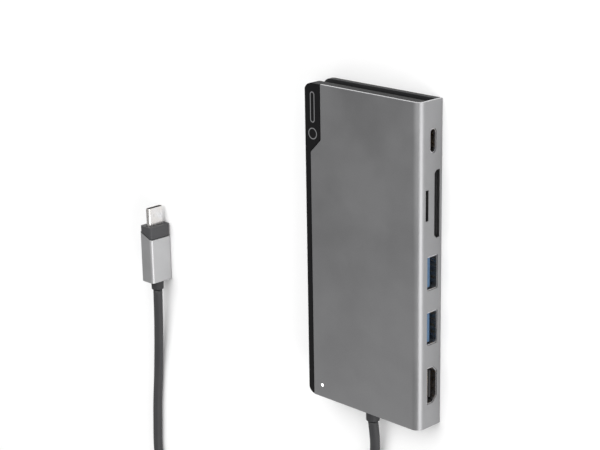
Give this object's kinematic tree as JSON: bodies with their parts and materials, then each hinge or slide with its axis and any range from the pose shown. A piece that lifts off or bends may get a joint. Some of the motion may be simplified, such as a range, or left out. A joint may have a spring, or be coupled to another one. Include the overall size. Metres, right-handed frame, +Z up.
{
  "type": "laptop docking station",
  "caption": "Slim flat laptop dock with a card-reader, USB, HDMI and USB-C port wall, and a short captive USB-C cable with its plug.",
  "frame": {"origin": "centre of the dock's footprint on the table, at the height of the bottom cover's flat face", "axes": "+Z up through the dock to the aluminium plate, +Y along the dock away from the cable, +X towards the port wall"},
  "size_m": [0.1645, 0.2107, 0.0124],
  "materials": {
    "anodised_aluminium": "bead-blasted and anodised grey",
    "black_plastic": "fine satin texture",
    "plated_steel": "nickel plated",
    "blue_insulator": "moulded",
    "black_insulator": "moulded",
    "circuit_board": "solder mask",
    "chip_resin": "moulded resin",
    "clear_light_pipe": "clear, frosted end",
    "white_nylon": "moulded",
    "black_rubber": "soft matte",
    "nose_plastic": "fine texture"
  },
  "bodies": {
    "dock": {"board_header": "black_insulator", "bottom_cover": "black_plastic", "cable_grommet": "black_rubber", "card_reader_chip": "chip_resin", "case_screw_1": "plated_steel", "case_screw_2": "plated_steel", "case_screw_3": "plated_steel", "case_screw_4": "plated_steel", "clock_crystal": "plated_steel", "cord": "black_rubber", "ejector_spring": "plated_steel", "flash_chip": "chip_resin", "hdmi_shell": "plated_steel", "hdmi_tongue": "black_insulator", "hub_chip": "chip_resin", "inner_cable": "black_rubber", "light_pipe": "clear_light_pipe", "main_board": "circuit_board", "micro_sd_lid": "plated_steel", "micro_sd_tray": "black_insulator", "plug_board": "circuit_board", "plug_collar": "black_rubber", "plug_nose": "nose_plastic", "plug_sleeve": "anodised_aluminium", "plug_tip_insulator": "black_insulator", "plug_tip_shell": "plated_steel", "power_chip": "chip_resin", "power_inductor_1": "chip_resin", "power_inductor_2": "chip_resin", "sd_lid": "plated_steel", "sd_tray": "black_insulator", "shield_can": "plated_steel", "side_frame": "black_plastic", "status_led": "white_nylon", "top_shell": "anodised_aluminium", "upper_board": "circuit_board", "usb_a_1_shell": "plated_steel", "usb_a_1_tongue": "blue_insulator", "usb_a_2_shell": "plated_steel", "usb_a_2_tongue": "blue_insulator", "usb_c_shell": "plated_steel", "usb_c_tongue": "black_insulator", "video_chip": "chip_resin", "wire_header": "white_nylon", "wire_plug": "white_nylon"},
    "ejector": {"card_ejector": "black_insulator"}
  },
  "joints": [
    {"name": "card_ejector_slide", "type": "slide", "parent": "dock", "child": "ejector", "axis": [-1, 0, 0], "range_m": [0, 0.0011], "stiffness_N_per_m": 200, "springref_m": -0.0005, "deforming": ["ejector_spring"]}
  ]
}
